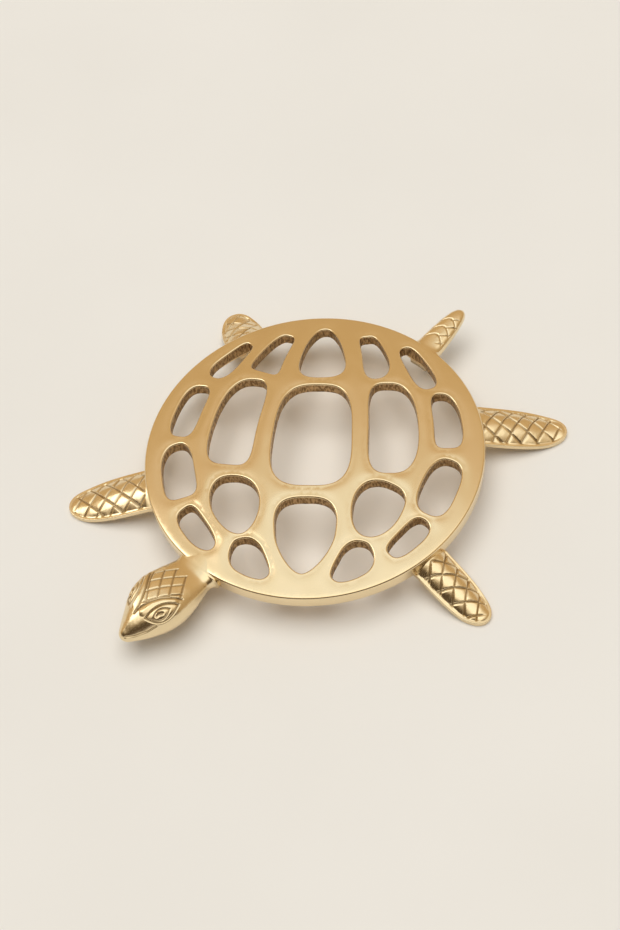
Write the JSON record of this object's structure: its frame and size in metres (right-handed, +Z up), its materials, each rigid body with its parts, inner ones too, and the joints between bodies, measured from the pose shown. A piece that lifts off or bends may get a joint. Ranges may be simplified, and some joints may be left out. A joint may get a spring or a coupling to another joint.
{
  "type": "trivet",
  "caption": "Turtle-shaped trivet in cast brass: a pierced, domed round shell on flipper feet holds a hot pot clear of the table.",
  "frame": {"origin": "on the shell's axis at table height, in the plane of the four feet", "axes": "+Z up along the shell's axis, -Y towards the head, +Y towards the tail, +X towards the turtle's left side"},
  "size_m": [0.2004, 0.221, 0.0275],
  "materials": {
    "shell_brass": "satin polished brass with rough cast walls in the openings",
    "limb_brass": "brushed cast brass with engraved lines",
    "screw_brass": "machined brass"
  },
  "bodies": {
    "root": {"shell": "shell_brass", "head": "limb_brass", "tail": "limb_brass", "front_left_flipper": "limb_brass", "front_right_flipper": "limb_brass", "rear_left_flipper": "limb_brass", "rear_right_flipper": "limb_brass", "head_screw": "screw_brass", "tail_screw": "screw_brass", "front_left_screw": "screw_brass", "front_right_screw": "screw_brass", "rear_left_screw": "screw_brass", "rear_right_screw": "screw_brass"}
  },
  "joints": []
}
